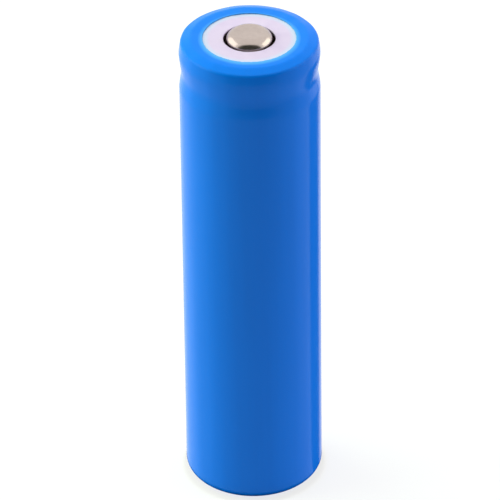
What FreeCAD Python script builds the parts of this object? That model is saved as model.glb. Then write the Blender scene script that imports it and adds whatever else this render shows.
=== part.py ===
"""Cylindrical lithium-ion cell with a button top, in its heat-shrink sleeve. Millimetres, +Z up the axis.

The origin is the centre of the base, where the sleeve's bottom lip stands. Every piece of the cell is one
solid in one node: sleeve, washer, can, the header with its safety disc, and the wound electrodes.
"""
import FreeCAD
import Part
import math
import os

V = FreeCAD.Vector
AXIS = V(0, 0, 1)

# --- heat-shrink sleeve and button ---
SLEEVE_RADIUS = 9.15
SLEEVE_WALL = 0.12
SLEEVE_TOP = 67.0
SLEEVE_TOP_OPENING = 6.09
SLEEVE_BASE_OPENING = 7.75
SLEEVE_STEP_RADIUS = 7.6
SLEEVE_STEP_BEND = 1.5
SLEEVE_CROWN_RADIUS = 8.92
SLEEVE_CROWN_DROP = 0.42
SLEEVE_CROWN_CORNER = 0.45
SLEEVE_RIM_RADIUS = 9.19
SLEEVE_RIM_BELOW_TOP = 2.1
SLEEVE_DIP_RUN = 2.1
SLEEVE_DIP_APEX = 0.33
SLEEVE_BEND = 4.0
BUTTON_TOP = 67.8
BUTTON_RADIUS = 3.05
BUTTON_EDGE = 1.3

# --- can: one drawn sheet, beaded under the header and crimped over it ---
SHRINK_GAP = 0.02
CAN_WALL = 0.25
CAN_RADIUS = SLEEVE_RADIUS - SLEEVE_WALL - SHRINK_GAP
CAN_CORNER = 1.4
CAN_RIM_RADIUS = 8.86
BEAD_BELOW_TOP = 4.93
BEAD_DEPTH = 1.30
BEAD_SLOPE_START = 2.3
BEAD_SLOPE_END = 0.3
BEAD_SEAT = 1.4
BEAD_SHOULDER_BEND = 2.0
BEAD_THROAT_BEND = 0.55
BEAD_NECK_BEND = 0.5
CRIMP_MOUTH = 6.35
CRIMP_CORNER = 0.7

# --- washer ---
WASHER_THICKNESS = 0.25
WASHER_HOLE = 3.38
WASHER_RADIUS = 7.3

# --- header stack, from the top down ---
HEADER_RADIUS = 7.86
GASKET_LIP = 0.42
GASKET_MOUTH = 6.0
GASKET_FOOT_MOUTH = 6.6
FIT_GAP = 0.02
CAP_THICKNESS = 0.35
CAP_BRIM_BEND = 0.5
VENT_WINDOWS = 4
VENT_WINDOW_WIDTH = 1.5
VENT_WINDOW_REACH = 4.3
VENT_WINDOW_HEIGHT = 0.45
PTC_THICKNESS = 0.30
PTC_HOLE = 4.3
DISC_THICKNESS = 0.28
DISC_GAP = 0.03
DISC_DISH_OUTER = 4.6
DISC_DISH_INNER = 1.5
DISC_BEND = 1.5
WELD_GAP = 0.01
SCORE_RADIUS = 3.3
SCORE_WIDTH = 0.2
SCORE_DEPTH = 0.12
SPACER_THICKNESS = 0.42
SPACER_HOLE = 5.0
PLATE_THICKNESS = 0.42
PLATE_RADIUS = 7.5
PLATE_HOLES = 6
PLATE_HOLE_RADIUS = 0.7
PLATE_HOLE_CIRCLE = 4.0

# --- winding: two electrodes and two separators, in half-turns about two centres ---
TURN_GAP = 0.02
SEPARATOR_THICKNESS = 0.03
ANODE_THICKNESS = 0.13
CATHODE_THICKNESS = 0.15
ROLL_BORE = 2.02
SEPARATOR_HALF_TURNS = (0, 30)
ANODE_HALF_TURNS = (1, 30)
CATHODE_HALF_TURNS = (2, 28)
SEPARATOR_SPAN = (1.2, 60.1)
ANODE_SPAN = (1.7, 59.6)
CATHODE_SPAN = (2.3, 59.0)
ROLL_TAPE_RADIUS = 8.63
ROLL_TAPE_THICKNESS = 0.05
ROLL_TAPE_SPAN = (3.5, 57.1)

# --- tabs, insulators and pin ---
TAB_WIDTH = 3.4
TAB_THICKNESS = 0.08
TAB_TAPE_THICKNESS = 0.04
TAB_LENGTH_IN_ROLL = 30.0
TAB_BEND = 0.4
TAB_OVERLAP = 0.08
NOTCH_MARGIN = 0.05
POSITIVE_HALF_TURN = 12
POSITIVE_FOLD = 61.6
POSITIVE_FOLD_REACH = 3.4
WELD_REACH = 2.6
NEGATIVE_HALF_TURN = 27
NEGATIVE_FOLD = 0.6
NEGATIVE_BEND = 0.5
INSULATOR_THICKNESS = 0.25
INSULATOR_HOLE = 1.6
INSULATOR_VENTS = 4
INSULATOR_VENT_RADIUS = 0.8
INSULATOR_VENT_CIRCLE = 6.4
TOP_INSULATOR_BASE = 60.2
TOP_INSULATOR_RADIUS = 8.15
TOP_SLOT = 0.8
BOTTOM_INSULATOR_BASE = 0.85
BOTTOM_INSULATOR_RADIUS = 7.2
PIN_RADIUS = 1.75
PIN_WALL = 0.2
PIN_SLIT = 0.5
PIN_SPAN = (3.0, 58.1)

# --- levels and radii that follow from the sizes above ---
CORNER_CENTRE = CAN_RADIUS - CAN_CORNER
SLEEVE_CORNER = CAN_CORNER + SHRINK_GAP + SLEEVE_WALL
LIP_OFFSET = SLEEVE_BASE_OPENING - CORNER_CENTRE
CAN_BASE = math.sqrt(SLEEVE_CORNER ** 2 - LIP_OFFSET ** 2) - CAN_CORNER
CAN_FLOOR_TOP = CAN_BASE + CAN_WALL
BEAD_LEVEL = SLEEVE_TOP - BEAD_BELOW_TOP
BEAD_SEAT_TOP = BEAD_LEVEL + BEAD_SEAT + CAN_WALL / 2
WASHER_TOP = SLEEVE_TOP - SLEEVE_WALL
CAN_TOP = WASHER_TOP - WASHER_THICKNESS
BRIM_TOP = CAN_TOP - CAN_WALL - GASKET_LIP
PTC_TOP = BRIM_TOP - CAP_THICKNESS
DISC_TOP = PTC_TOP - PTC_THICKNESS - DISC_GAP
SPACER_TOP = DISC_TOP - DISC_THICKNESS - DISC_GAP
PLATE_TOP = SPACER_TOP - SPACER_THICKNESS
PLATE_BASE = PLATE_TOP - PLATE_THICKNESS
PITCH = CATHODE_THICKNESS + ANODE_THICKNESS + 2 * SEPARATOR_THICKNESS + 4 * TURN_GAP
INNER_SEPARATOR_OFFSET = 0.0
ANODE_OFFSET = SEPARATOR_THICKNESS + TURN_GAP
OUTER_SEPARATOR_OFFSET = ANODE_OFFSET + ANODE_THICKNESS + TURN_GAP
CATHODE_OFFSET = OUTER_SEPARATOR_OFFSET + SEPARATOR_THICKNESS + TURN_GAP


# --- sections and solids ---
def corner_arc(before, corner, after, radius):
    """The tangent arc that rounds a corner, as (start, middle, end, centre)."""
    back = (before - corner).normalize()
    ahead = (after - corner).normalize()
    half = math.acos(max(-1.0, min(1.0, back.dot(ahead)))) / 2
    inward = (back + ahead).normalize()
    centre = corner + inward * (radius / math.sin(half))
    reach = radius / math.tan(half)
    return corner + back * reach, centre - inward * radius, corner + ahead * reach, centre


def side_edges(corners, radii, side):
    """The edges of a line through corners with rounded bends, moved sideways by side (left is positive)."""
    arcs = [corner_arc(*corners[i:i + 3], radius) for i, radius in enumerate(radii)]
    starts = [corners[0]] + [arc[2] for arc in arcs]
    ends = [arc[0] for arc in arcs] + [corners[-1]]
    edges = []
    for number, (start, end) in enumerate(zip(starts, ends)):
        run = (end - start).normalize()
        normal = V(-run.z, 0, run.x) * side
        edges.append(Part.makeLine(start + normal, end + normal))
        if number < len(arcs):
            *three, centre = arcs[number]
            toward_centre = (centre - end).dot(V(-run.z, 0, run.x)) > 0
            grown = -side if toward_centre else side
            moved = [point + (point - centre).normalize() * grown for point in three]
            edges.append(Part.Arc(*moved).toShape())
    return edges


def face_of(edges):
    """The flat face inside a closed loop of edges."""
    return Part.Face(Part.Wire(Part.__sortEdges__(edges)))


def sheet_section(outline, radii, thickness):
    """The section of a bent sheet, whose middle line runs through (radius, height) corners."""
    corners = [V(r, 0, z) for r, z in outline]
    left = side_edges(corners, radii, thickness / 2)
    right = side_edges(corners, radii, -thickness / 2)
    first = Part.makeLine(left[0].valueAt(left[0].FirstParameter), right[0].valueAt(right[0].FirstParameter))
    last = Part.makeLine(left[-1].valueAt(left[-1].LastParameter), right[-1].valueAt(right[-1].LastParameter))
    return face_of(left + right + [first, last])


def solid_section(outline):
    """The section of a solid ring, from (radius, height, corner rounding) points around its outline."""
    points = [V(r, 0, z) for r, z, _ in outline]
    edges = []
    starts = []
    ends = []
    for number, (_, _, rounding) in enumerate(outline):
        before = points[number - 1]
        after = points[(number + 1) % len(points)]
        if rounding > 0:
            start, middle, end, _ = corner_arc(before, points[number], after, rounding)
            edges.append(Part.Arc(start, middle, end).toShape())
        else:
            start = end = points[number]
        ends.append(start)
        starts.append(end)
    for number, start in enumerate(starts):
        edges.append(Part.makeLine(start, ends[(number + 1) % len(ends)]))
    return face_of(edges)


def one_solid(shape):
    """The only solid in a shape."""
    if len(shape.Solids) != 1:
        raise ValueError(f"expected one solid, found {len(shape.Solids)}")
    return shape.Solids[0]


def turned_once(section):
    """The solid that a section sweeps in one turn about the axis."""
    return one_solid(section.revolve(V(0, 0, 0), AXIS, 360))


def ring(inner, outer, base, top):
    """A flat ring about the axis."""
    body = Part.makeCylinder(outer, top - base, V(0, 0, base))
    return one_solid(body.cut(Part.makeCylinder(inner, top - base, V(0, 0, base))))


def around(shape, count, start=0.0):
    """Copies of a shape, spread evenly about the axis."""
    copies = []
    for number in range(count):
        copy = shape.copy()
        copy.rotate(V(0, 0, 0), AXIS, start + 360.0 * number / count)
        copies.append(copy)
    return Part.makeCompound(copies)


def drilled(body, radius, circle, count, start=0.0):
    """A body with holes along the axis, spaced on a circle."""
    box = body.BoundBox
    hole = Part.makeCylinder(radius, box.ZLength + 2, V(circle, 0, box.ZMin - 1))
    return one_solid(body.cut(around(hole, count, start)))


# --- sleeve, washer and can ---
def heat_shrink_sleeve():
    """Film shrunk over the can, bridging the bead, and rolled over both ends and the edge of the washer."""
    half = SLEEVE_WALL / 2
    wall = SLEEVE_RADIUS - half
    base = CAN_BASE - SHRINK_GAP - half
    outline = [
        (CORNER_CENTRE - 1.0, base),
        (wall, base),
        (wall, BEAD_LEVEL - SLEEVE_DIP_RUN),
        (wall - SLEEVE_DIP_APEX, BEAD_LEVEL),
        (SLEEVE_RIM_RADIUS - half, SLEEVE_TOP - SLEEVE_RIM_BELOW_TOP),
        (SLEEVE_CROWN_RADIUS - half, SLEEVE_TOP - SLEEVE_CROWN_DROP - half),
        (SLEEVE_STEP_RADIUS, SLEEVE_TOP - half),
        (SLEEVE_TOP_OPENING, SLEEVE_TOP - half),
    ]
    bends = [
        SLEEVE_CORNER - half,
        SLEEVE_BEND,
        SLEEVE_BEND,
        SLEEVE_BEND,
        SLEEVE_CROWN_CORNER - half,
        SLEEVE_STEP_BEND,
    ]
    shell = turned_once(sheet_section(outline, bends, SLEEVE_WALL))
    opening = Part.makeCylinder(SLEEVE_BASE_OPENING, 2.0, V(0, 0, base - 1.0))
    return one_solid(shell.cut(opening))


def top_washer():
    """Paper washer between the crimped rim and the sleeve. The button stands up through its hole."""
    return ring(WASHER_HOLE, WASHER_RADIUS, CAN_TOP, WASHER_TOP)


def can():
    """Drawn steel cup. The bead's flat upper side carries the gasket, and the rim is crimped over it."""
    half = CAN_WALL / 2
    wall = CAN_RADIUS - half
    rim = CAN_RIM_RADIUS - half
    throat = CAN_RADIUS - BEAD_DEPTH - half
    outline = [
        (0, CAN_BASE + half),
        (wall, CAN_BASE + half),
        (wall, BEAD_LEVEL - BEAD_SLOPE_START),
        (throat, BEAD_LEVEL - BEAD_SLOPE_END),
        (throat, BEAD_LEVEL + BEAD_SEAT),
        (rim, BEAD_LEVEL + BEAD_SEAT),
        (rim, CAN_TOP - half),
        (CRIMP_MOUTH, CAN_TOP - half),
    ]
    bends = [
        CAN_CORNER - half,
        BEAD_SHOULDER_BEND,
        BEAD_NECK_BEND,
        BEAD_THROAT_BEND,
        BEAD_NECK_BEND,
        CRIMP_CORNER - half,
    ]
    return turned_once(sheet_section(outline, bends, CAN_WALL))


# --- header ---
def positive_cap():
    """Stamped cap: the button is its crown, and gas leaves by the windows at the foot of the crown."""
    half = CAP_THICKNESS / 2
    outline = [
        (0, BUTTON_TOP - half),
        (BUTTON_RADIUS - half, BUTTON_TOP - half),
        (BUTTON_RADIUS - half, BRIM_TOP - half),
        (HEADER_RADIUS, BRIM_TOP - half),
    ]
    cap = turned_once(sheet_section(outline, [BUTTON_EDGE - half, CAP_BRIM_BEND], CAP_THICKNESS))
    window = Part.makeBox(
        VENT_WINDOW_REACH,
        VENT_WINDOW_WIDTH,
        CAP_THICKNESS + VENT_WINDOW_HEIGHT,
        V(0, -VENT_WINDOW_WIDTH / 2, BRIM_TOP - CAP_THICKNESS),
    )
    return one_solid(cap.cut(around(window, VENT_WINDOWS, 45.0)))


def crimp_gasket():
    """Seal of C section: its lip, wall and foot wrap the edge of the header stack."""
    outer = CAN_RIM_RADIUS - CAN_WALL - FIT_GAP
    inner = HEADER_RADIUS + FIT_GAP
    foot = BEAD_SEAT_TOP
    outline = [
        (GASKET_FOOT_MOUTH, foot, 0),
        (outer, foot, BEAD_NECK_BEND),
        (outer, CAN_TOP - CAN_WALL, CRIMP_CORNER - CAN_WALL),
        (GASKET_MOUTH, CAN_TOP - CAN_WALL, 0),
        (GASKET_MOUTH, BRIM_TOP, 0),
        (inner, BRIM_TOP, 0),
        (inner, PLATE_BASE, 0),
        (GASKET_FOOT_MOUTH, PLATE_BASE, 0),
    ]
    return turned_once(solid_section(outline))


def ptc_ring():
    """Current-limiting ring between the cap's brim and the vent disc."""
    return ring(PTC_HOLE, HEADER_RADIUS, PTC_TOP - PTC_THICKNESS, PTC_TOP)


def vent_disc():
    """Dished foil disc with a scored ring. Its middle is welded to the plate, and snaps up under pressure."""
    half = DISC_THICKNESS / 2
    rim_level = DISC_TOP - half
    weld_level = PLATE_TOP + WELD_GAP + half
    outline = [
        (0, weld_level),
        (DISC_DISH_INNER, weld_level),
        (DISC_DISH_OUTER, rim_level),
        (HEADER_RADIUS, rim_level),
    ]
    disc = turned_once(sheet_section(outline, [DISC_BEND, DISC_BEND], DISC_THICKNESS))
    rise = (SCORE_RADIUS - DISC_DISH_INNER) / (DISC_DISH_OUTER - DISC_DISH_INNER)
    surface = weld_level + rise * (rim_level - weld_level) + half
    score = ring(SCORE_RADIUS, SCORE_RADIUS + SCORE_WIDTH, surface - SCORE_DEPTH, DISC_TOP)
    return one_solid(disc.cut(score))


def vent_spacer_ring():
    """Insulating ring that keeps the plate off the vent disc, except at the weld."""
    return ring(SPACER_HOLE, HEADER_RADIUS, PLATE_TOP, SPACER_TOP)


def cid_plate():
    """Perforated plate of the current interrupt device. The positive tab is welded under it."""
    plate = Part.makeCylinder(PLATE_RADIUS, PLATE_THICKNESS, V(0, 0, PLATE_BASE))
    return drilled(plate, PLATE_HOLE_RADIUS, PLATE_HOLE_CIRCLE, PLATE_HOLES)


# --- winding ---
def turn_centre(half_turn):
    """Half-turns are arcs about two centres in turn, so that the strip keeps its pitch."""
    return -PITCH / 4 if half_turn % 2 == 0 else PITCH / 4


def turn_radius(half_turn, offset):
    """The inner radius of a layer in one half-turn, where offset is the layer's place within the pitch."""
    return ROLL_BORE + offset + half_turn * PITCH / 2


def half_circle(half_turn, radius):
    """The arc of one half-turn: even ones lie on the +Y side and odd ones on the -Y side."""
    x = turn_centre(half_turn)
    side = 1 if half_turn % 2 == 0 else -1
    return Part.Arc(V(x - radius, 0, 0), V(x, side * radius, 0), V(x + radius, 0, 0)).toShape()


def wound_strip(offset, thickness, half_turns, span):
    """A strip wound from the bore outwards, as one solid."""
    turns = range(*half_turns)
    edges = []
    for side in (offset, offset + thickness):
        edges += [half_circle(turn, turn_radius(turn, side)) for turn in turns]
    for turn in half_turns:
        x = turn_centre(turn)
        end = 1 if turn % 2 == 0 else -1
        inner = turn_radius(turn, offset)
        ends = [V(x + end * radius, 0, 0) for radius in (inner, inner + thickness)]
        edges.append(Part.makeLine(*ends))
    strip = face_of(edges).extrude(AXIS * (span[1] - span[0]))
    strip.translate(AXIS * span[0])
    return one_solid(strip)


def curved_strip(half_turn, inner, thickness, width, span):
    """A narrow strip that follows one half-turn, centred on the middle of its arc."""
    side = 1 if half_turn % 2 == 0 else -1
    reach = math.asin(width / 2 / inner)
    arcs = []
    for radius in (inner, inner + thickness):
        points = []
        for angle in (-reach, 0, reach):
            points.append(V(radius * math.sin(angle), side * radius * math.cos(angle), 0))
        arcs.append(points)
    edges = [Part.Arc(*points).toShape() for points in arcs]
    edges += [Part.makeLine(arcs[0][0], arcs[1][0]), Part.makeLine(arcs[0][2], arcs[1][2])]
    strip = face_of(edges).extrude(AXIS * (span[1] - span[0]))
    strip.translate(V(turn_centre(half_turn), 0, span[0]))
    return one_solid(strip)


def notched(strip, half_turn, offset, thickness, span):
    """An electrode without its coating where the tab is welded on: a window cut in one half-turn."""
    inner = turn_radius(half_turn, offset)
    window = curved_strip(
        half_turn,
        inner - TURN_GAP / 2,
        thickness + TURN_GAP,
        TAB_WIDTH + 2 * NOTCH_MARGIN,
        span,
    )
    return one_solid(strip.cut(window))


def separator_inner():
    return wound_strip(INNER_SEPARATOR_OFFSET, SEPARATOR_THICKNESS, SEPARATOR_HALF_TURNS, SEPARATOR_SPAN)


def separator_outer():
    return wound_strip(OUTER_SEPARATOR_OFFSET, SEPARATOR_THICKNESS, SEPARATOR_HALF_TURNS, SEPARATOR_SPAN)


def anode_strip():
    """Coated copper foil, with the negative tab's window at its lower edge."""
    strip = wound_strip(ANODE_OFFSET, ANODE_THICKNESS, ANODE_HALF_TURNS, ANODE_SPAN)
    window = (ANODE_SPAN[0] - 1, ANODE_SPAN[0] + TAB_LENGTH_IN_ROLL)
    return notched(strip, NEGATIVE_HALF_TURN, ANODE_OFFSET, ANODE_THICKNESS, window)


def cathode_strip():
    """Coated aluminium foil, with the positive tab's window at its upper edge."""
    strip = wound_strip(CATHODE_OFFSET, CATHODE_THICKNESS, CATHODE_HALF_TURNS, CATHODE_SPAN)
    window = (CATHODE_SPAN[1] - TAB_LENGTH_IN_ROLL, CATHODE_SPAN[1] + 1)
    return notched(strip, POSITIVE_HALF_TURN, CATHODE_OFFSET, CATHODE_THICKNESS, window)


def roll_tape():
    """Band of tape around the winding."""
    return ring(ROLL_TAPE_RADIUS, ROLL_TAPE_RADIUS + ROLL_TAPE_THICKNESS, *ROLL_TAPE_SPAN)


# --- tabs, tapes, insulators and pin ---
def ribbon(outline, bends, half_turn):
    """A flat tab, from (distance from the roll's centre, height) corners, in the plane of its half-turn."""
    section = sheet_section(outline, bends, TAB_THICKNESS)
    flat = section.extrude(V(0, TAB_WIDTH, 0))
    flat.translate(V(0, -TAB_WIDTH / 2, 0))
    flat.rotate(V(0, 0, 0), AXIS, 90 if half_turn % 2 == 0 else -90)
    flat.translate(V(turn_centre(half_turn), 0, 0))
    return one_solid(flat)


def chord_distance(inner):
    """How far out a flat tab stands, where it meets a curved one of the same width halfway up its bow."""
    middle = inner + TAB_THICKNESS / 2
    return (middle + math.sqrt(middle ** 2 - (TAB_WIDTH / 2) ** 2)) / 2


def positive_tab():
    """Aluminium tab: out of the winding, folded once over the top insulator, and welded under the plate."""
    inner = turn_radius(POSITIVE_HALF_TURN, CATHODE_OFFSET)
    out = chord_distance(inner)
    root = TOP_INSULATOR_BASE - TAB_OVERLAP
    span = (CATHODE_SPAN[1] - TAB_LENGTH_IN_ROLL, TOP_INSULATOR_BASE)
    curved = curved_strip(POSITIVE_HALF_TURN, inner, TAB_THICKNESS, TAB_WIDTH, span)
    weld = PLATE_BASE - TAB_THICKNESS / 2
    outline = [
        (out, root),
        (out, POSITIVE_FOLD),
        (-POSITIVE_FOLD_REACH, POSITIVE_FOLD + TAB_BEND),
        (-WELD_REACH, weld),
        (WELD_REACH, weld),
    ]
    return one_solid(curved.fuse(ribbon(outline, 3 * [TAB_BEND], POSITIVE_HALF_TURN)))


def negative_tab():
    """Nickel tab: down out of the winding, under the bottom insulator, and welded to the can's floor."""
    inner = turn_radius(NEGATIVE_HALF_TURN, ANODE_OFFSET)
    out = chord_distance(inner)
    root = SEPARATOR_SPAN[0] - TAB_OVERLAP / 2
    span = (root - TAB_OVERLAP, ANODE_SPAN[0] + TAB_LENGTH_IN_ROLL)
    curved = curved_strip(NEGATIVE_HALF_TURN, inner, TAB_THICKNESS, TAB_WIDTH, span)
    weld = CAN_FLOOR_TOP + TAB_THICKNESS / 2
    outline = [
        (out, root),
        (out, NEGATIVE_FOLD),
        (WELD_REACH, NEGATIVE_FOLD),
        (WELD_REACH / 2, weld),
        (-WELD_REACH / 2, weld),
    ]
    bends = [NEGATIVE_BEND, TAB_BEND, TAB_BEND]
    return one_solid(curved.fuse(ribbon(outline, bends, NEGATIVE_HALF_TURN)))


def positive_tab_tape():
    """Tape over the tab, from inside the winding to its upper edge."""
    inner = turn_radius(POSITIVE_HALF_TURN, CATHODE_OFFSET) + TAB_THICKNESS
    span = (CATHODE_SPAN[1] - TAB_LENGTH_IN_ROLL, SEPARATOR_SPAN[1])
    return curved_strip(POSITIVE_HALF_TURN, inner, TAB_TAPE_THICKNESS, TAB_WIDTH, span)


def negative_tab_tape():
    """Tape over the tab, from the winding's lower edge upwards."""
    inner = turn_radius(NEGATIVE_HALF_TURN, ANODE_OFFSET) + TAB_THICKNESS
    span = (SEPARATOR_SPAN[0], ANODE_SPAN[0] + TAB_LENGTH_IN_ROLL)
    return curved_strip(NEGATIVE_HALF_TURN, inner, TAB_TAPE_THICKNESS, TAB_WIDTH, span)


def top_insulator():
    """Disc over the winding, with the core hole, gas holes and a slot for the positive tab."""
    top = TOP_INSULATOR_BASE + INSULATOR_THICKNESS
    disc = ring(INSULATOR_HOLE, TOP_INSULATOR_RADIUS, TOP_INSULATOR_BASE, top)
    out = chord_distance(turn_radius(POSITIVE_HALF_TURN, CATHODE_OFFSET))
    slot = Part.makeBox(
        TAB_WIDTH + TOP_SLOT,
        TOP_SLOT,
        INSULATOR_THICKNESS,
        V(-(TAB_WIDTH + TOP_SLOT) / 2, out - TOP_SLOT / 2, TOP_INSULATOR_BASE),
    )
    return drilled(
        one_solid(disc.cut(slot)), INSULATOR_VENT_RADIUS, INSULATOR_VENT_CIRCLE, INSULATOR_VENTS, 45.0
    )


def bottom_insulator():
    """Disc under the winding, small enough for the negative tab to pass its edge."""
    top = BOTTOM_INSULATOR_BASE + INSULATOR_THICKNESS
    disc = ring(INSULATOR_HOLE, BOTTOM_INSULATOR_RADIUS, BOTTOM_INSULATOR_BASE, top)
    circle = (INSULATOR_HOLE + BOTTOM_INSULATOR_RADIUS) / 2
    return drilled(disc, INSULATOR_VENT_RADIUS, circle, INSULATOR_VENTS)


def centre_pin():
    """Slit tube that keeps the winding's core open for gas."""
    tube = ring(PIN_RADIUS - PIN_WALL, PIN_RADIUS, *PIN_SPAN)
    slit = Part.makeBox(
        2 * PIN_RADIUS, PIN_SLIT, PIN_SPAN[1] - PIN_SPAN[0], V(0, -PIN_SLIT / 2, PIN_SPAN[0])
    )
    return one_solid(tube.cut(slit))


PIECES = [
    heat_shrink_sleeve,
    top_washer,
    positive_cap,
    can,
    crimp_gasket,
    ptc_ring,
    vent_disc,
    vent_spacer_ring,
    cid_plate,
    top_insulator,
    bottom_insulator,
    cathode_strip,
    anode_strip,
    separator_inner,
    separator_outer,
    positive_tab,
    negative_tab,
    positive_tab_tape,
    negative_tab_tape,
    centre_pin,
    roll_tape,
]


def main():
    os.makedirs("parts", exist_ok=True)
    for piece in PIECES:
        name = piece.__name__
        solid = piece()
        box = solid.optimalBoundingBox(False)
        print(
            f"{name:20s} valid {solid.isValid()} volume {solid.Volume:9.2f} "
            f"radius {box.XMax:6.3f} height {box.ZMin:7.3f} to {box.ZMax:7.3f}"
        )
        solid.exportStep(f"parts/{name}.step")


main()
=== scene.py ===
import math

import bpy
import numpy as np
from mathutils import Matrix, Vector


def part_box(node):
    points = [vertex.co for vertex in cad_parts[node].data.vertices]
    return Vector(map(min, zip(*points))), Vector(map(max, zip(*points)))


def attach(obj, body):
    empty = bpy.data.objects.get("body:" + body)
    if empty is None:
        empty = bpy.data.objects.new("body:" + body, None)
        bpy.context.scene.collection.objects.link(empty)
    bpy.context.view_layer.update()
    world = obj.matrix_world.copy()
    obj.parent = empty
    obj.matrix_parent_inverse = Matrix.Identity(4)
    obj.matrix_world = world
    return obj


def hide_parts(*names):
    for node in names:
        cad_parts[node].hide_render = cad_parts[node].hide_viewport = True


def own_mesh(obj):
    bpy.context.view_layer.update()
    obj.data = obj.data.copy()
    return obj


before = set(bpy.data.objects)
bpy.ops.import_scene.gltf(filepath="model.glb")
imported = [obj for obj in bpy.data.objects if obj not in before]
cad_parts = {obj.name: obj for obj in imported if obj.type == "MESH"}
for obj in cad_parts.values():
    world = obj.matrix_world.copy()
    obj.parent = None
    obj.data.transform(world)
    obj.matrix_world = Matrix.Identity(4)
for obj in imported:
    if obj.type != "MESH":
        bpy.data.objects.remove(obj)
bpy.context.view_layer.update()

MM = 0.001
TAU = 2 * math.pi

# --- sizes from the frame, in millimetres ---
def top_of(name):
    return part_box(name)[1].z / MM


def base_of(name):
    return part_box(name)[0].z / MM


def radius_of(name):
    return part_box(name)[1].x / MM


SLEEVE_RADIUS = radius_of("heat_shrink_sleeve")
SLEEVE_TOP = top_of("heat_shrink_sleeve")
BUTTON_TOP = top_of("positive_cap")
HEADER_RADIUS = radius_of("positive_cap")
BRIM_BASE = base_of("positive_cap")
WASHER_TOP = top_of("top_washer")
WASHER_BASE = base_of("top_washer")
WASHER_RADIUS = radius_of("top_washer")
CAN_RADIUS = radius_of("can")
CAN_TOP = top_of("can")
CAN_BASE = base_of("can")
DISC_TOP = top_of("vent_disc")
DISC_BASE = base_of("vent_disc")

# --- shape of the skins, in millimetres ---
FILM = 0.12
FILM_GAP = 0.02
TOP_OPENING = 6.09
BASE_OPENING = 7.75
STEP_RADIUS = 7.6
STEP_BEND = 1.5
CROWN_RADIUS = 8.92
CROWN_DROP = 0.42
CROWN_CORNER = 0.45
RIM_RADIUS = 9.19
RIM_BELOW_TOP = 2.1
GROOVE_BELOW_TOP = 4.93
GROOVE_RUN = 2.1
GROOVE_APEX = 0.33
FILM_BEND = 4.0
CAN_WALL = 0.25
CAN_CORNER = 1.4
CAN_RIM_RADIUS = 8.86
BEAD_DEPTH = 1.30
BEAD_SLOPE_START = 2.3
BEAD_SLOPE_END = 0.3
BEAD_SEAT = 1.4
BEAD_SHOULDER_BEND = 2.0
BEAD_NECK_BEND = 0.5
BEAD_THROAT_BEND = 0.55
BEAD_RIM_BEND = 0.5
CRIMP_MOUTH = 6.35
CRIMP_CORNER = 0.7
WASHER_HOLE = 3.38
WASHER_EDGE = 0.05
BUTTON_RADIUS = 3.05
BUTTON_EDGE = 1.3
CAP_SHEET = 0.35
CAP_BRIM_BEND = 0.5
WINDOWS = 4
WINDOW_WIDTH = 1.5
WINDOW_START = 1.85
WINDOW_REACH = 4.3
WINDOW_HEIGHT = 0.45
WINDOW_TURN = math.radians(45)
DISC_SHEET = 0.28
DISC_DISH_OUTER = 4.6
DISC_DISH_INNER = 1.5
DISC_BEND = 1.5
SCORE_RADIUS = 3.4
SCORE_WIDTH = 0.12
SCORE_DEPTH = 0.12

GROOVE_LEVEL = SLEEVE_TOP - GROOVE_BELOW_TOP
SLEEVE_CORNER = CAN_CORNER + FILM_GAP + FILM

# --- fineness of the meshes ---
FILM_SEGMENTS = 320
METAL_SEGMENTS = 256
DISC_SEGMENTS = 192
EDGE_POINTS = 3
ARC_STEP = math.radians(6)
ON_AXIS = 1e-6


# --- profiles ---
def bend_line(corners, radii, steps):
    """Points along a line through (radius, height) corners, with each inner corner rounded.

    radii holds the bend at each inner corner. steps holds the distance between points on each run.
    """
    corners = [Vector(corner) for corner in corners]
    points = []
    start = corners[0]
    for number, radius in enumerate(radii):
        before, corner, after = corners[number:number + 3]
        back = (before - corner).normalized()
        ahead = (after - corner).normalized()
        half = back.angle(ahead) / 2
        reach = radius / math.tan(half)
        centre = corner + (back + ahead).normalized() * (radius / math.sin(half))
        first = corner + back * reach
        last = corner + ahead * reach
        points += along(start, first, steps[number])
        turn = math.pi - 2 * half
        count = max(3, math.ceil(turn / ARC_STEP), math.ceil(turn * radius / steps[number]))
        side = math.copysign(1, (corner - first).cross(last - corner))
        arm = first - centre
        for i in range(count):
            angle = side * turn * i / count
            points.append(centre + Vector((
                arm.x * math.cos(angle) - arm.y * math.sin(angle),
                arm.x * math.sin(angle) + arm.y * math.cos(angle),
            )))
        start = last
    points += along(start, corners[-1], steps[-1]) + [corners[-1]]
    return np.array([tuple(point) for point in points])


def along(start, end, step):
    """Points from start towards end, without the end itself."""
    count = max(1, math.ceil((end - start).length / step))
    return [start.lerp(end, i / count) for i in range(count)]


def sheet_loop(line, thickness):
    """The closed loop round a sheet, from its middle line, and the loop's outward normals.

    The line runs so that the sheet's outer face is on its right. Cut edges are rounded. An end on the
    axis stays open, and the loop then starts and ends there.
    """
    run = np.gradient(line, axis=0)
    run /= np.linalg.norm(run, axis=1)[:, None]
    right = np.stack([run[:, 1], -run[:, 0]], axis=1)
    starts_on_axis = line[0, 0] < ON_AXIS
    ends_on_axis = line[-1, 0] < ON_AXIS
    points = [line + right * thickness / 2]
    normals = [right]
    if not ends_on_axis:
        edge = cut_edge(right[-1], run[-1])
        points.append(line[-1] + edge * thickness / 2)
        normals.append(edge)
    points.append((line - right * thickness / 2)[::-1])
    normals.append(-right[::-1])
    if not starts_on_axis:
        edge = cut_edge(-right[0], -run[0])
        points.append(line[0] + edge * thickness / 2)
        normals.append(edge)
    points, normals = np.concatenate(points), np.concatenate(normals)
    if ends_on_axis:
        points, normals = np.roll(points, -len(line), axis=0), np.roll(normals, -len(line), axis=0)
    return points, normals


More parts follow.
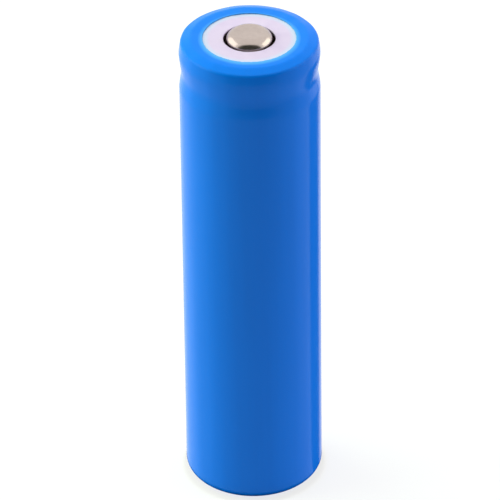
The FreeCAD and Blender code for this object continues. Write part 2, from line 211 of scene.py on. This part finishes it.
def cut_edge(out, ahead):
    """Directions round half a turn, from out, over ahead, to the other side."""
    turns = np.linspace(0, math.pi, EDGE_POINTS + 2)[1:-1]
    return np.outer(np.cos(turns), out) + np.outer(np.sin(turns), ahead)


# --- meshes ---
def mesh_object(name, vertices, faces, smooth=True):
    mesh = bpy.data.meshes.new(name)
    mesh.from_pydata([tuple(v) for v in np.asarray(vertices) * MM], [], faces)
    mesh.validate()
    mesh.update()
    mesh.polygons.foreach_set("use_smooth", [smooth] * len(mesh.polygons))
    piece = bpy.data.objects.new(name, mesh)
    bpy.context.scene.collection.objects.link(piece)
    return piece


def lathe(name, loop, normals, relief=None, segments=FILM_SEGMENTS):
    """Turns a closed loop about the axis.

    relief(angle, radius, height) moves the surface along its normals, by that many millimetres.
    A loop that starts and ends on the axis gets one point at each end.
    """
    on_axis = loop[0, 0] < ON_AXIS
    rings = loop[1:-1] if on_axis else loop
    ring_normals = normals[1:-1] if on_axis else normals
    angle, radius = np.meshgrid(np.linspace(0, TAU, segments, endpoint=False), rings[:, 0])
    height = np.repeat(rings[:, 1][:, None], segments, axis=1)
    if relief is not None:
        move = relief(angle, radius, height)
        radius = radius + move * ring_normals[:, 0][:, None]
        height = height + move * ring_normals[:, 1][:, None]
    vertices = np.stack([radius * np.sin(angle), -radius * np.cos(angle), height], axis=2).reshape(-1, 3)
    rows = len(rings)
    faces = []
    for row in range(rows - 1 if on_axis else rows):
        below = row * segments
        above = (row + 1) % rows * segments
        for column in range(segments):
            after = (column + 1) % segments
            faces.append((below + column, below + after, above + after, above + column))
    if on_axis:
        first_pole, last_pole = len(vertices), len(vertices) + 1
        vertices = np.concatenate([vertices, [(0, 0, loop[0, 1]), (0, 0, loop[-1, 1])]])
        last_row = (rows - 1) * segments
        for column in range(segments):
            after = (column + 1) % segments
            faces.append((first_pole, after, column))
            faces.append((last_pole, last_row + column, last_row + after))
    return mesh_object(name, vertices, faces)


def ripple(angle, counts, seed):
    """An uneven wave round the axis, about 1 high. counts says how many crests each wave in it has."""
    phases = np.random.RandomState(seed).uniform(0, TAU, len(counts))
    waves = [np.sin(count * angle + phase) for count, phase in zip(counts, phases)]
    return sum(waves) / len(counts) ** 0.5


def bump_at(value, centre, width):
    """A smooth hump, 1 high at its centre."""
    return np.exp(-((value - centre) / width) ** 2)


# --- materials ---
def shader(name):
    """A new material's Principled shader and node tree."""
    made = bpy.data.materials.new(name)
    made.use_nodes = True
    tree = made.node_tree
    return made, tree, tree.nodes["Principled BSDF"]


def node(tree, kind, inputs=None, **settings):
    """A new node, with each input linked to a socket or set to a value."""
    made = tree.nodes.new(kind)
    for key, value in settings.items():
        setattr(made, key, value)
    for key, value in (inputs or {}).items():
        if isinstance(value, bpy.types.NodeSocket):
            tree.links.new(value, made.inputs[key])
        else:
            made.inputs[key].default_value = value
    return made


def place(tree, stretch=(1, 1, 1), shift=(0, 0, 0)):
    """Object coordinates in metres, stretched along each axis and shifted."""
    coordinates = node(tree, "ShaderNodeTexCoord")
    mapping = node(
        tree,
        "ShaderNodeMapping",
        {"Vector": coordinates.outputs["Object"], "Scale": stretch, "Location": shift},
    )
    return mapping.outputs["Vector"]


def noise(tree, scale, stretch=(1, 1, 1), detail=3.0, roughness=0.5):
    """Noise with features about 1 / scale metres wide."""
    made = node(
        tree,
        "ShaderNodeTexNoise",
        {"Vector": place(tree, stretch), "Scale": scale, "Detail": detail, "Roughness": roughness},
    )
    return made.outputs["Fac"]


def spread(tree, value, low, high, low_in=0.3, high_in=0.7):
    """Maps a value onto a range."""
    made = node(
        tree,
        "ShaderNodeMapRange",
        {"Value": value, "From Min": low_in, "From Max": high_in, "To Min": low, "To Max": high},
    )
    return made.outputs["Result"]


def tint(tree, factor, first, second):
    """A colour between two, by a factor from 0 to 1."""
    made = node(tree, "ShaderNodeMix", data_type="RGBA")
    tree.links.new(factor, made.inputs["Factor"])
    made.inputs["A"].default_value = (*first, 1)
    made.inputs["B"].default_value = (*second, 1)
    return made.outputs["Result"]


def relief_of(tree, bsdf, height, distance, below=None):
    """Bumps a shader by a height from 0 to 1, distance metres high, on top of the relief below."""
    inputs = {"Height": height, "Distance": distance, "Strength": 1.0}
    if below is not None:
        inputs["Normal"] = below
    made = node(tree, "ShaderNodeBump", inputs)
    tree.links.new(made.outputs["Normal"], bsdf.inputs["Normal"])
    return made.outputs["Normal"]


def scaled(colour, factor):
    """A colour made brighter or darker."""
    return tuple(min(1.0, channel * factor) for channel in colour)


COAT_ROUGHNESS = 0.12
ROUGHNESS_SPREAD = 0.06


def finish_of(
    name,
    colour,
    roughness,
    metallic=0.0,
    grain=900,
    stretch=(1, 1, 1),
    variation=0.08,
    depth=2e-6,
    coat=0.0,
    anisotropic=0.0,
):
    """A plain finish. Its colour drifts slowly, and its roughness and relief follow one fine grain."""
    made, tree, bsdf = shader(name)
    bsdf.inputs["Metallic"].default_value = metallic
    bsdf.inputs["Coat Weight"].default_value = coat
    bsdf.inputs["Coat Roughness"].default_value = COAT_ROUGHNESS
    bsdf.inputs["Anisotropic"].default_value = anisotropic
    coarse = noise(tree, grain / 12, stretch)
    fine = noise(tree, grain, stretch, detail=4.0, roughness=0.6)
    colour_out = tint(
        tree, spread(tree, coarse, 0, 1), scaled(colour, 1 - variation), scaled(colour, 1 + variation)
    )
    tree.links.new(colour_out, bsdf.inputs["Base Color"])
    rough = spread(tree, fine, roughness - ROUGHNESS_SPREAD, roughness + ROUGHNESS_SPREAD)
    tree.links.new(rough, bsdf.inputs["Roughness"])
    relief_of(tree, bsdf, fine, depth)
    return made


FILM_DARK = (0.002, 0.156, 0.72)
FILM_LIGHT = (0.002, 0.168, 0.77)
# The pale lip colour is partly the washer showing through the thin film and partly painted highlight;
# the shift below moves it to the front, where it is painted paler.
FILM_SHOW_THROUGH_AND_HIGHLIGHT = (0.06, 0.30, 0.72)
FILM_SHINE = 0.1
FILM_LIP = 0.6
FILM_HIGHLIGHT_SHIFT = 0.3


def film_finish():
    """Blue PVC film, drawn lengthwise, so its streaks run up the cell.

    Its top lip is paler: partly the washer showing through the thin film, partly a painted highlight
    that is moved to the front, so the lip is paler in front than at the back.
    """
    made, tree, bsdf = shader("sleeve_film")
    bsdf.inputs["Specular IOR Level"].default_value = FILM_SHINE
    streaks = noise(tree, 700, stretch=(1, 1, 0.03), detail=3.0)
    clouds = noise(tree, 110, stretch=(1, 1, 0.35), detail=2.0)
    both = node(tree, "ShaderNodeMath", {0: streaks, 1: clouds}, operation="ADD").outputs[0]
    colour = tint(tree, spread(tree, both, 0, 1, low_in=0.6, high_in=1.4), FILM_DARK, FILM_LIGHT)
    # Painted highlight: the lip round the top opening is tinted pale from a centre moved to the front,
    # so the front of the lip is paler than the back.
    flat = place(tree, (1, 1, 0), (0, FILM_HIGHLIGHT_SHIFT * MM, 0))
    from_axis = node(tree, "ShaderNodeVectorMath", {0: flat}, operation="LENGTH").outputs["Value"]
    lip = spread(tree, from_axis, 1, 0, low_in=TOP_OPENING * MM, high_in=(TOP_OPENING + FILM_LIP) * MM)
    lip_show_through_and_highlight = tint(tree, lip, FILM_DARK, FILM_SHOW_THROUGH_AND_HIGHLIGHT)
    tree.links.new(colour, lip_show_through_and_highlight.node.inputs["A"])
    tree.links.new(lip_show_through_and_highlight, bsdf.inputs["Base Color"])
    tree.links.new(spread(tree, clouds, 0.15, 0.19), bsdf.inputs["Roughness"])
    peel = noise(tree, 900, stretch=(1, 1, 0.3), detail=2.0)
    relief_of(tree, bsdf, peel, 4e-6)
    return made


PAPER_DARK = (0.515, 0.415, 0.62)
PAPER_LIGHT = (0.55, 0.45, 0.64)
# Painted bounce light: the blue that the paper is tinted towards near the film's edge.
PAPER_FILM_BOUNCE = (0.42, 0.52, 0.70)
PAPER_SHINE = 0.35
PAPER_BOUNCE_START = 5.2


def paper_finish():
    """Calendered insulating paper with a faint fibre grain. Towards the film its colour turns bluer:
    painted blue bounce light from the film.
    """
    made, tree, bsdf = shader("washer_paper")
    bsdf.inputs["Specular IOR Level"].default_value = PAPER_SHINE
    fibres = noise(tree, 2600, stretch=(1, 0.35, 1), detail=6.0, roughness=0.7)
    clouds = noise(tree, 500, detail=2.0)
    colour = tint(tree, spread(tree, clouds, 0, 1), PAPER_DARK, PAPER_LIGHT)
    # Painted bounce light: the paper turns bluer from a set radius out to the film's opening.
    flat = place(tree, (1, 1, 0))
    from_axis = node(tree, "ShaderNodeVectorMath", {0: flat}, operation="LENGTH").outputs["Value"]
    bounce_reach = spread(tree, from_axis, 0, 1, low_in=PAPER_BOUNCE_START * MM, high_in=TOP_OPENING * MM)
    bounce_tinted = tint(tree, bounce_reach, PAPER_LIGHT, PAPER_FILM_BOUNCE)
    tree.links.new(colour, bounce_tinted.node.inputs["A"])
    tree.links.new(bounce_tinted, bsdf.inputs["Base Color"])
    tree.links.new(spread(tree, fibres, 0.5, 0.7), bsdf.inputs["Roughness"])
    relief_of(tree, bsdf, fibres, 12e-6)
    return made


def nickel_finish(name, colour, roughness):
    """Nickel plating over stamped steel: a satin grain, soft stains and a few handling scratches."""
    made, tree, bsdf = shader(name)
    bsdf.inputs["Metallic"].default_value = 1.0
    stains = noise(tree, 700, detail=4.0, roughness=0.6)
    tree.links.new(
        tint(tree, spread(tree, stains, 0, 1), scaled(colour, 0.93), scaled(colour, 1.05)),
        bsdf.inputs["Base Color"],
    )
    grain = noise(tree, 5000, detail=4.0, roughness=0.65)
    tree.links.new(spread(tree, grain, roughness - 0.02, roughness + 0.02), bsdf.inputs["Roughness"])
    strokes = noise(tree, 2500, stretch=(1, 0.06, 1), detail=2.0)
    scratches = spread(tree, strokes, 0, 1, low_in=0.62, high_in=0.72)
    ground = relief_of(tree, bsdf, grain, 0.7e-6)
    relief_of(tree, bsdf, scratches, 1e-6, below=ground)
    return made


FINISHES = {
    "sleeve_film": film_finish(),
    "washer_paper": paper_finish(),
    "nickel_cap": nickel_finish("nickel_cap", (0.58, 0.487, 0.43), 0.22),
    "nickel_can": nickel_finish("nickel_can", (0.70, 0.67, 0.62), 0.24),
}
PLAIN_FINISHES = {
    "gasket_plastic": dict(colour=(0.72, 0.74, 0.76), roughness=0.42, grain=1800),
    "ptc_metal": dict(colour=(0.42, 0.41, 0.42), roughness=0.45, metallic=0.8, grain=3000),
    "disc_aluminium": dict(
        colour=(0.80, 0.81, 0.82),
        roughness=0.30,
        metallic=1.0,
        grain=2400,
        stretch=(1, 0.15, 1),
        anisotropic=0.3,
    ),
    "spacer_plastic": dict(colour=(0.80, 0.81, 0.77), roughness=0.5, grain=1600),
    "plate_aluminium": dict(
        colour=(0.74, 0.75, 0.77),
        roughness=0.34,
        metallic=1.0,
        grain=2400,
        stretch=(0.15, 1, 1),
        anisotropic=0.3,
    ),
    "insulator_board": dict(
        colour=(0.78, 0.72, 0.55), roughness=0.68, grain=1500, depth=8e-6, variation=0.1
    ),
    "cathode_coating": dict(
        colour=(0.035, 0.035, 0.04), roughness=0.62, grain=6000, depth=3e-6, variation=0.25
    ),
    "anode_coating": dict(
        colour=(0.12, 0.09, 0.08), roughness=0.66, grain=5000, depth=3e-6, variation=0.25
    ),
    "separator_film": dict(colour=(0.86, 0.87, 0.89), roughness=0.48, grain=1400, stretch=(1, 1, 0.1)),
    "tab_aluminium": dict(
        colour=(0.80, 0.80, 0.82),
        roughness=0.3,
        metallic=1.0,
        grain=3000,
        stretch=(1, 1, 0.05),
        anisotropic=0.4,
    ),
    "tab_nickel": dict(
        colour=(0.70, 0.66, 0.58),
        roughness=0.3,
        metallic=1.0,
        grain=3000,
        stretch=(1, 1, 0.05),
        anisotropic=0.4,
    ),
    "tab_tape": dict(colour=(0.62, 0.30, 0.05), roughness=0.25, grain=900, coat=0.4),
    "pin_steel": dict(
        colour=(0.60, 0.60, 0.60),
        roughness=0.32,
        metallic=1.0,
        grain=2800,
        stretch=(1, 1, 0.05),
        anisotropic=0.4,
    ),
    "roll_tape_film": dict(colour=(0.10, 0.42, 0.20), roughness=0.28, grain=800, coat=0.3),
}
for name, look in PLAIN_FINISHES.items():
    FINISHES[name] = finish_of(name, **look)


def dress(piece, slot, *nodes):
    """Gives a rebuilt piece its finish and its body, and hides the nodes that it stands for."""
    piece.data.materials.append(FINISHES[slot])
    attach(piece, "cell")
    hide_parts(*nodes)
    return piece


# --- sleeve: the heights and reaches of its relief are in millimetres too ---
WAVE = 0.008
WAVE_LENGTH = 9.0
BASE_STILL = 0.5
BASE_FADE = 3.0
SAG = 0.03
SAG_REACH = 2.2
PUCKER = 0.012
PUCKER_REACH = 0.9


def film_relief(angle, radius, height):
    """How the film leaves a perfect turned shape: shrink waves, and puckers at its top edge."""
    fade = np.clip((height - BASE_STILL) / BASE_FADE, 0, 1)
    swell = 1 + 0.5 * np.sin(height / WAVE_LENGTH)
    waves = WAVE * ripple(angle, (3, 5, 8, 13, 19), 1) * swell * fade
    sag = SAG * ripple(angle, (2, 3, 5, 7), 2) * bump_at(height, GROOVE_LEVEL, SAG_REACH)
    to_edge = np.clip((TOP_OPENING + PUCKER_REACH - radius) / PUCKER_REACH, 0, 1)
    near_edge = to_edge ** 2 * (height > SLEEVE_TOP - 1)
    pucker = PUCKER * ripple(angle, (31, 43, 58, 71), 3) * near_edge
    return waves + sag + pucker


def heat_shrink_sleeve():
    """The shrunk tube, from its lip under the base, up over the groove and rim, to its top opening."""
    half = FILM / 2
    wall = SLEEVE_RADIUS - half
    base = CAN_BASE - FILM_GAP - half
    corner = SLEEVE_CORNER - half
    lip = math.asin((BASE_OPENING - (wall - corner)) / corner)
    corner_centre = Vector((wall - corner, base + corner))
    start = [
        tuple(corner_centre + corner * Vector((math.sin(turn), -math.cos(turn))))
        for turn in np.linspace(lip, math.pi / 2, 14, endpoint=False)
    ]
    outline = [
        (wall, base + corner),
        (wall, GROOVE_LEVEL - GROOVE_RUN),
        (wall - GROOVE_APEX, GROOVE_LEVEL),
        (RIM_RADIUS - half, SLEEVE_TOP - RIM_BELOW_TOP),
        (CROWN_RADIUS - half, SLEEVE_TOP - CROWN_DROP - half),
        (STEP_RADIUS, SLEEVE_TOP - half),
        (TOP_OPENING, SLEEVE_TOP - half),
    ]
    bends = 3 * [FILM_BEND] + [CROWN_CORNER - half, STEP_BEND]
    line = bend_line(outline, bends, [0.7, 0.14, 0.14, 0.14, 0.1, 0.14])
    line = np.concatenate([start, line])
    sleeve = lathe("sleeve_skin", *sheet_loop(line, FILM), film_relief)
    return dress(sleeve, "sleeve_film", "heat_shrink_sleeve")


# --- washer ---
def washer_outline():
    """The washer's section, anticlockwise from its hole's lower edge, and its outward normals."""
    mid_radius = (WASHER_HOLE + WASHER_RADIUS) / 2
    mid_height = (WASHER_TOP + WASHER_BASE) / 2
    corners = [
        (WASHER_HOLE, WASHER_BASE, 180),
        (WASHER_RADIUS, WASHER_BASE, 270),
        (WASHER_RADIUS, WASHER_TOP, 0),
        (WASHER_HOLE, WASHER_TOP, 90),
    ]
    outline = []
    normals = []
    for radius, height, first in corners:
        if first == 90:
            face = np.linspace(WASHER_RADIUS - WASHER_EDGE, WASHER_HOLE + WASHER_EDGE, 24)[1:-1]
            outline += [np.array([face_radius, WASHER_TOP]) for face_radius in face]
            normals += [np.array([0.0, 1.0]) for _ in face]
        inward = np.sign([mid_radius - radius, mid_height - height]) * WASHER_EDGE
        for turn in np.radians(np.linspace(first, first + 90, 4)):
            direction = np.array([math.cos(turn), math.sin(turn)])
            outline.append(np.array([radius, height]) + inward + direction * WASHER_EDGE)
            normals.append(direction)
    return np.array(outline), np.array(normals)


def washer_relief(angle, radius, height):
    """The part of the washer that the film leaves bare lies slightly uneven, and a little lower."""
    swell = 0.010 * ripple(angle, (3, 4, 7), 5) + 0.005 * ripple(angle, (11, 17), 6)
    return np.where(radius < TOP_OPENING, swell - 0.004, 0)


def top_washer():
    """A die-cut ring with slightly rounded edges."""
    washer = lathe("washer_ring", *washer_outline(), washer_relief)
    return dress(washer, "washer_paper", "top_washer")


# --- can ---
def can():
    """The drawn cup, with its beaded groove and its mouth crimped in over the header."""
    half = CAN_WALL / 2
    wall = CAN_RADIUS - half
    rim = CAN_RIM_RADIUS - half
    throat = CAN_RADIUS - BEAD_DEPTH - half
    outline = [
        (0, CAN_BASE + half),
        (wall, CAN_BASE + half),
        (wall, GROOVE_LEVEL - BEAD_SLOPE_START),
        (throat, GROOVE_LEVEL - BEAD_SLOPE_END),
        (throat, GROOVE_LEVEL + BEAD_SEAT),
        (rim, GROOVE_LEVEL + BEAD_SEAT),
        (rim, CAN_TOP - half),
        (CRIMP_MOUTH, CAN_TOP - half),
    ]
    bends = [
        CAN_CORNER - half,
        BEAD_SHOULDER_BEND,
        BEAD_NECK_BEND,
        BEAD_THROAT_BEND,
        BEAD_RIM_BEND,
        CRIMP_CORNER - half,
    ]
    line = bend_line(outline, bends, [0.4, 1.2, 0.2, 0.2, 0.2, 0.2, 0.2])
    cup = lathe("can_shell", *sheet_loop(line, CAN_WALL), segments=METAL_SEGMENTS)
    return dress(cup, "nickel_can", "can")


# --- cap ---
def positive_cap():
    """The stamped cap. Its four gas windows are cut from the fine mesh."""
    half = CAP_SHEET / 2
    outline = [
        (HEADER_RADIUS, BRIM_BASE + half),
        (BUTTON_RADIUS - half, BRIM_BASE + half),
        (BUTTON_RADIUS - half, BUTTON_TOP - half),
        (0, BUTTON_TOP - half),
    ]
    line = bend_line(outline, [CAP_BRIM_BEND, BUTTON_EDGE - half], [0.3, 0.08, 0.15])
    cap = lathe("cap_stamping", *sheet_loop(line, CAP_SHEET), segments=METAL_SEGMENTS)
    cutter = window_cutter()
    cut = cap.modifiers.new("windows", "BOOLEAN")
    cut.object = cutter
    cut.solver = "EXACT"
    bpy.context.view_layer.update()
    evaluated = cap.evaluated_get(bpy.context.evaluated_depsgraph_get())
    mesh = bpy.data.meshes.new_from_object(evaluated)
    cap.modifiers.clear()
    cap.data = mesh
    cap.data.materials.clear()
    bpy.data.objects.remove(cutter)
    return dress(cap, "nickel_cap", "positive_cap")


def window_cutter():
    """Bars that point away from the axis, which meet nothing but the foot of the button."""
    vertices = []
    faces = []
    low, high = BRIM_BASE - 0.1, BRIM_BASE + CAP_SHEET + WINDOW_HEIGHT
    for number in range(WINDOWS):
        turn = WINDOW_TURN + TAU * number / WINDOWS
        out = np.array([math.sin(turn), -math.cos(turn)])
        across = np.array([math.cos(turn), math.sin(turn)]) * WINDOW_WIDTH / 2
        first = len(vertices)
        for reach in (WINDOW_START, WINDOW_REACH):
            for side in (-1, 1):
                for height in (low, high):
                    vertices.append((*(out * reach + across * side), height))
        for face in ((0, 1, 3, 2), (4, 6, 7, 5), (0, 4, 5, 1), (2, 3, 7, 6), (0, 2, 6, 4), (1, 5, 7, 3)):
            faces.append(tuple(first + corner for corner in face))
    return mesh_object("window_cutter", vertices, faces, smooth=False)


# --- vent disc ---
def vent_disc():
    """The safety disc, dished down from its clamped rim, with a scored ring in its top face."""
    half = DISC_SHEET / 2
    rim = DISC_TOP - half
    weld = DISC_BASE + half
    outline = [(HEADER_RADIUS, rim), (DISC_DISH_OUTER, rim), (DISC_DISH_INNER, weld), (0, weld)]
    line = bend_line(outline, [DISC_BEND, DISC_BEND], [0.25, 0.05, 0.1])
    loop, normals = sheet_loop(line, DISC_SHEET)
    scored = bump_at(loop[:, 0], SCORE_RADIUS, SCORE_WIDTH / 2) * (normals[:, 1] > 0.5)
    loop = loop - normals * (SCORE_DEPTH * scored)[:, None]
    disc = lathe("vent_disc_foil", loop, normals, segments=DISC_SEGMENTS)
    dress(disc, "disc_aluminium", "vent_disc")
    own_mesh(disc)
    return disc


heat_shrink_sleeve()
top_washer()
can()
positive_cap()
vent_disc()

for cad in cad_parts.values():
    if not cad.hide_render:
        for material_slot in cad.material_slots:
            material_slot.material = FINISHES[material_slot.material.name.split(".")[0]]


# --- studio ---
def studio_material(name, colour, glow):
    """A matt studio surface with a faint tooth, and a little light of its own."""
    made, tree, bsdf = shader(name)
    tooth = noise(tree, 60, detail=2.0)
    shade_of = tint(tree, tooth, scaled(colour, 0.99), scaled(colour, 1.01))
    tree.links.new(shade_of, bsdf.inputs["Base Color"])
    bsdf.inputs["Roughness"].default_value = 1.0
    bsdf.inputs["Specular IOR Level"].default_value = 0.0
    bsdf.inputs["Emission Color"].default_value = (1, 1, 1, 1)
    bsdf.inputs["Emission Strength"].default_value = glow
    return made


def card(name, corners, material):
    """A flat studio card from its corners, in metres."""
    made = mesh_object(name, np.array(corners) / MM, [tuple(range(len(corners)))], smooth=False)
    made.data.materials.append(material)
    return made


FLOOR_REACH = 6.0
card(
    "floor",
    [
        (-FLOOR_REACH, -FLOOR_REACH, 0),
        (FLOOR_REACH, -FLOOR_REACH, 0),
        (FLOOR_REACH, FLOOR_REACH, 0),
        (-FLOOR_REACH, FLOOR_REACH, 0),
    ],
    studio_material("floor_acrylic", (0.2, 0.2, 0.2), 0.78),
)

BLACK_CLOTH = studio_material("black_cloth", (0.03, 0.03, 0.03), 0.0)
LAMP_CLOTH = studio_material("lamp_cloth", (0.5, 0.5, 0.5), 1.3)
CLOTH_BASE = 0.001
STRIP_LEVEL = 0.0006
FOOT_RADIUS = 0.0097
FOOT_LEVEL = 0.0003


def half_oval(distance, half_width, height):
    """The corners of a half-oval that stands in front of the cell."""
    return [
        (half_width * math.cos(turn), -distance, CLOTH_BASE + height * math.sin(turn))
        for turn in np.linspace(0, math.pi, 32)
    ]


def upright(x, near, far, low, high):
    """The corners of a card that stands beside the cell."""
    return [(x, near, low), (x, far, low), (x, far, high), (x, near, high)]


def seen_in_reflections_only(piece):
    """Hides a studio piece from all but glossy rays."""
    piece.visible_camera = False
    piece.visible_diffuse = False
    piece.visible_shadow = False


# The shade keeps the front dim. The cloths and panels are what the film and the button mirror.
shade = card("front_shade", half_oval(distance=0.35, half_width=1.0, height=1.0), BLACK_CLOTH)
shade.visible_camera = False
shade.visible_glossy = False
mirrored = [
    card("front_cloth", half_oval(distance=0.2, half_width=0.3, height=0.46), BLACK_CLOTH),
    card("left_panel", upright(x=-0.56, near=-0.2, far=0.5, low=0.05, high=0.6), LAMP_CLOTH),
    card("right_panel", upright(x=0.58, near=-0.2, far=0.4, low=0.05, high=0.5), LAMP_CLOTH),
    card(
        "right_strip",
        [
            (0.0080, -0.0044, STRIP_LEVEL),
            (0.127, 0.044, STRIP_LEVEL),
            (0.081, 0.105, STRIP_LEVEL),
            (0.0087, -0.0026, STRIP_LEVEL),
        ],
        BLACK_CLOTH,
    ),
]
for piece in mirrored:
    seen_in_reflections_only(piece)

# The disc under the cell darkens the bounce at its foot as well.
foot_rim = [
    (FOOT_RADIUS * math.cos(turn), FOOT_RADIUS * math.sin(turn), FOOT_LEVEL)
    for turn in np.linspace(0, TAU, 48, endpoint=False)
]
foot = card("foot_disc", foot_rim, BLACK_CLOTH)
seen_in_reflections_only(foot)
foot.visible_diffuse = True


def softbox(name, position, size, strength, colour):
    """A soft light aimed at the middle of the cell. strength is its radiance."""
    data = bpy.data.lights.new(name, "AREA")
    data.shape = "RECTANGLE"
    data.color = colour
    data.size, data.size_y = size
    data.energy = strength * math.pi * size[0] * size[1]
    box = bpy.data.objects.new(name, data)
    box.location = position
    aim = Vector((0, 0, SLEEVE_TOP * MM / 2)) - Vector(position)
    box.rotation_euler = aim.to_track_quat("-Z", "Y").to_euler()
    box.visible_camera = False
    box.visible_glossy = False
    bpy.context.scene.collection.objects.link(box)
    return box


softbox("left_softbox", (-0.58, 0.2, 0.34), size=(0.8, 0.8), strength=3.6, colour=(1.0, 1.2, 0.80))
softbox("right_softbox", (0.60, 0.12, 0.30), size=(0.6, 0.7), strength=1.2, colour=(1.0, 1.0, 1.0))
softbox("overhead_softbox", (0.0, -0.03, 0.9), size=(0.8, 0.6), strength=1.1, colour=(1.0, 1.2, 0.9))

world = bpy.data.worlds.new("studio")
world.use_nodes = True
sky = world.node_tree.nodes["Background"]
sky.inputs["Color"].default_value = (0.97, 0.98, 1.0, 1)
sky.inputs["Strength"].default_value = 1.03
bpy.context.scene.world = world

# --- camera: the front view from above, with a long lens ---
CAMERA_ELEVATION = math.radians(33.47)
CAMERA_DISTANCE = 0.682
CAMERA_AIM = Vector((-0.00024, 0, 0.03425))
CAMERA_ROLL = math.radians(-0.68)
LENS = 372.2
SENSOR = 36.0

camera_data = bpy.data.cameras.new("camera")
camera_data.lens = LENS
camera_data.sensor_width = SENSOR
camera_data.clip_start = 0.01
camera = bpy.data.objects.new("camera", camera_data)
back = Vector((0, -math.cos(CAMERA_ELEVATION), math.sin(CAMERA_ELEVATION)))
camera.location = CAMERA_AIM + back * CAMERA_DISTANCE
aimed = (-back).to_track_quat("-Z", "Y").to_matrix().to_4x4()
camera.rotation_euler = (aimed @ Matrix.Rotation(CAMERA_ROLL, 4, "Z")).to_euler()
bpy.context.scene.collection.objects.link(camera)
bpy.context.scene.camera = camera
bpy.context.scene.view_settings.view_transform = "Standard"
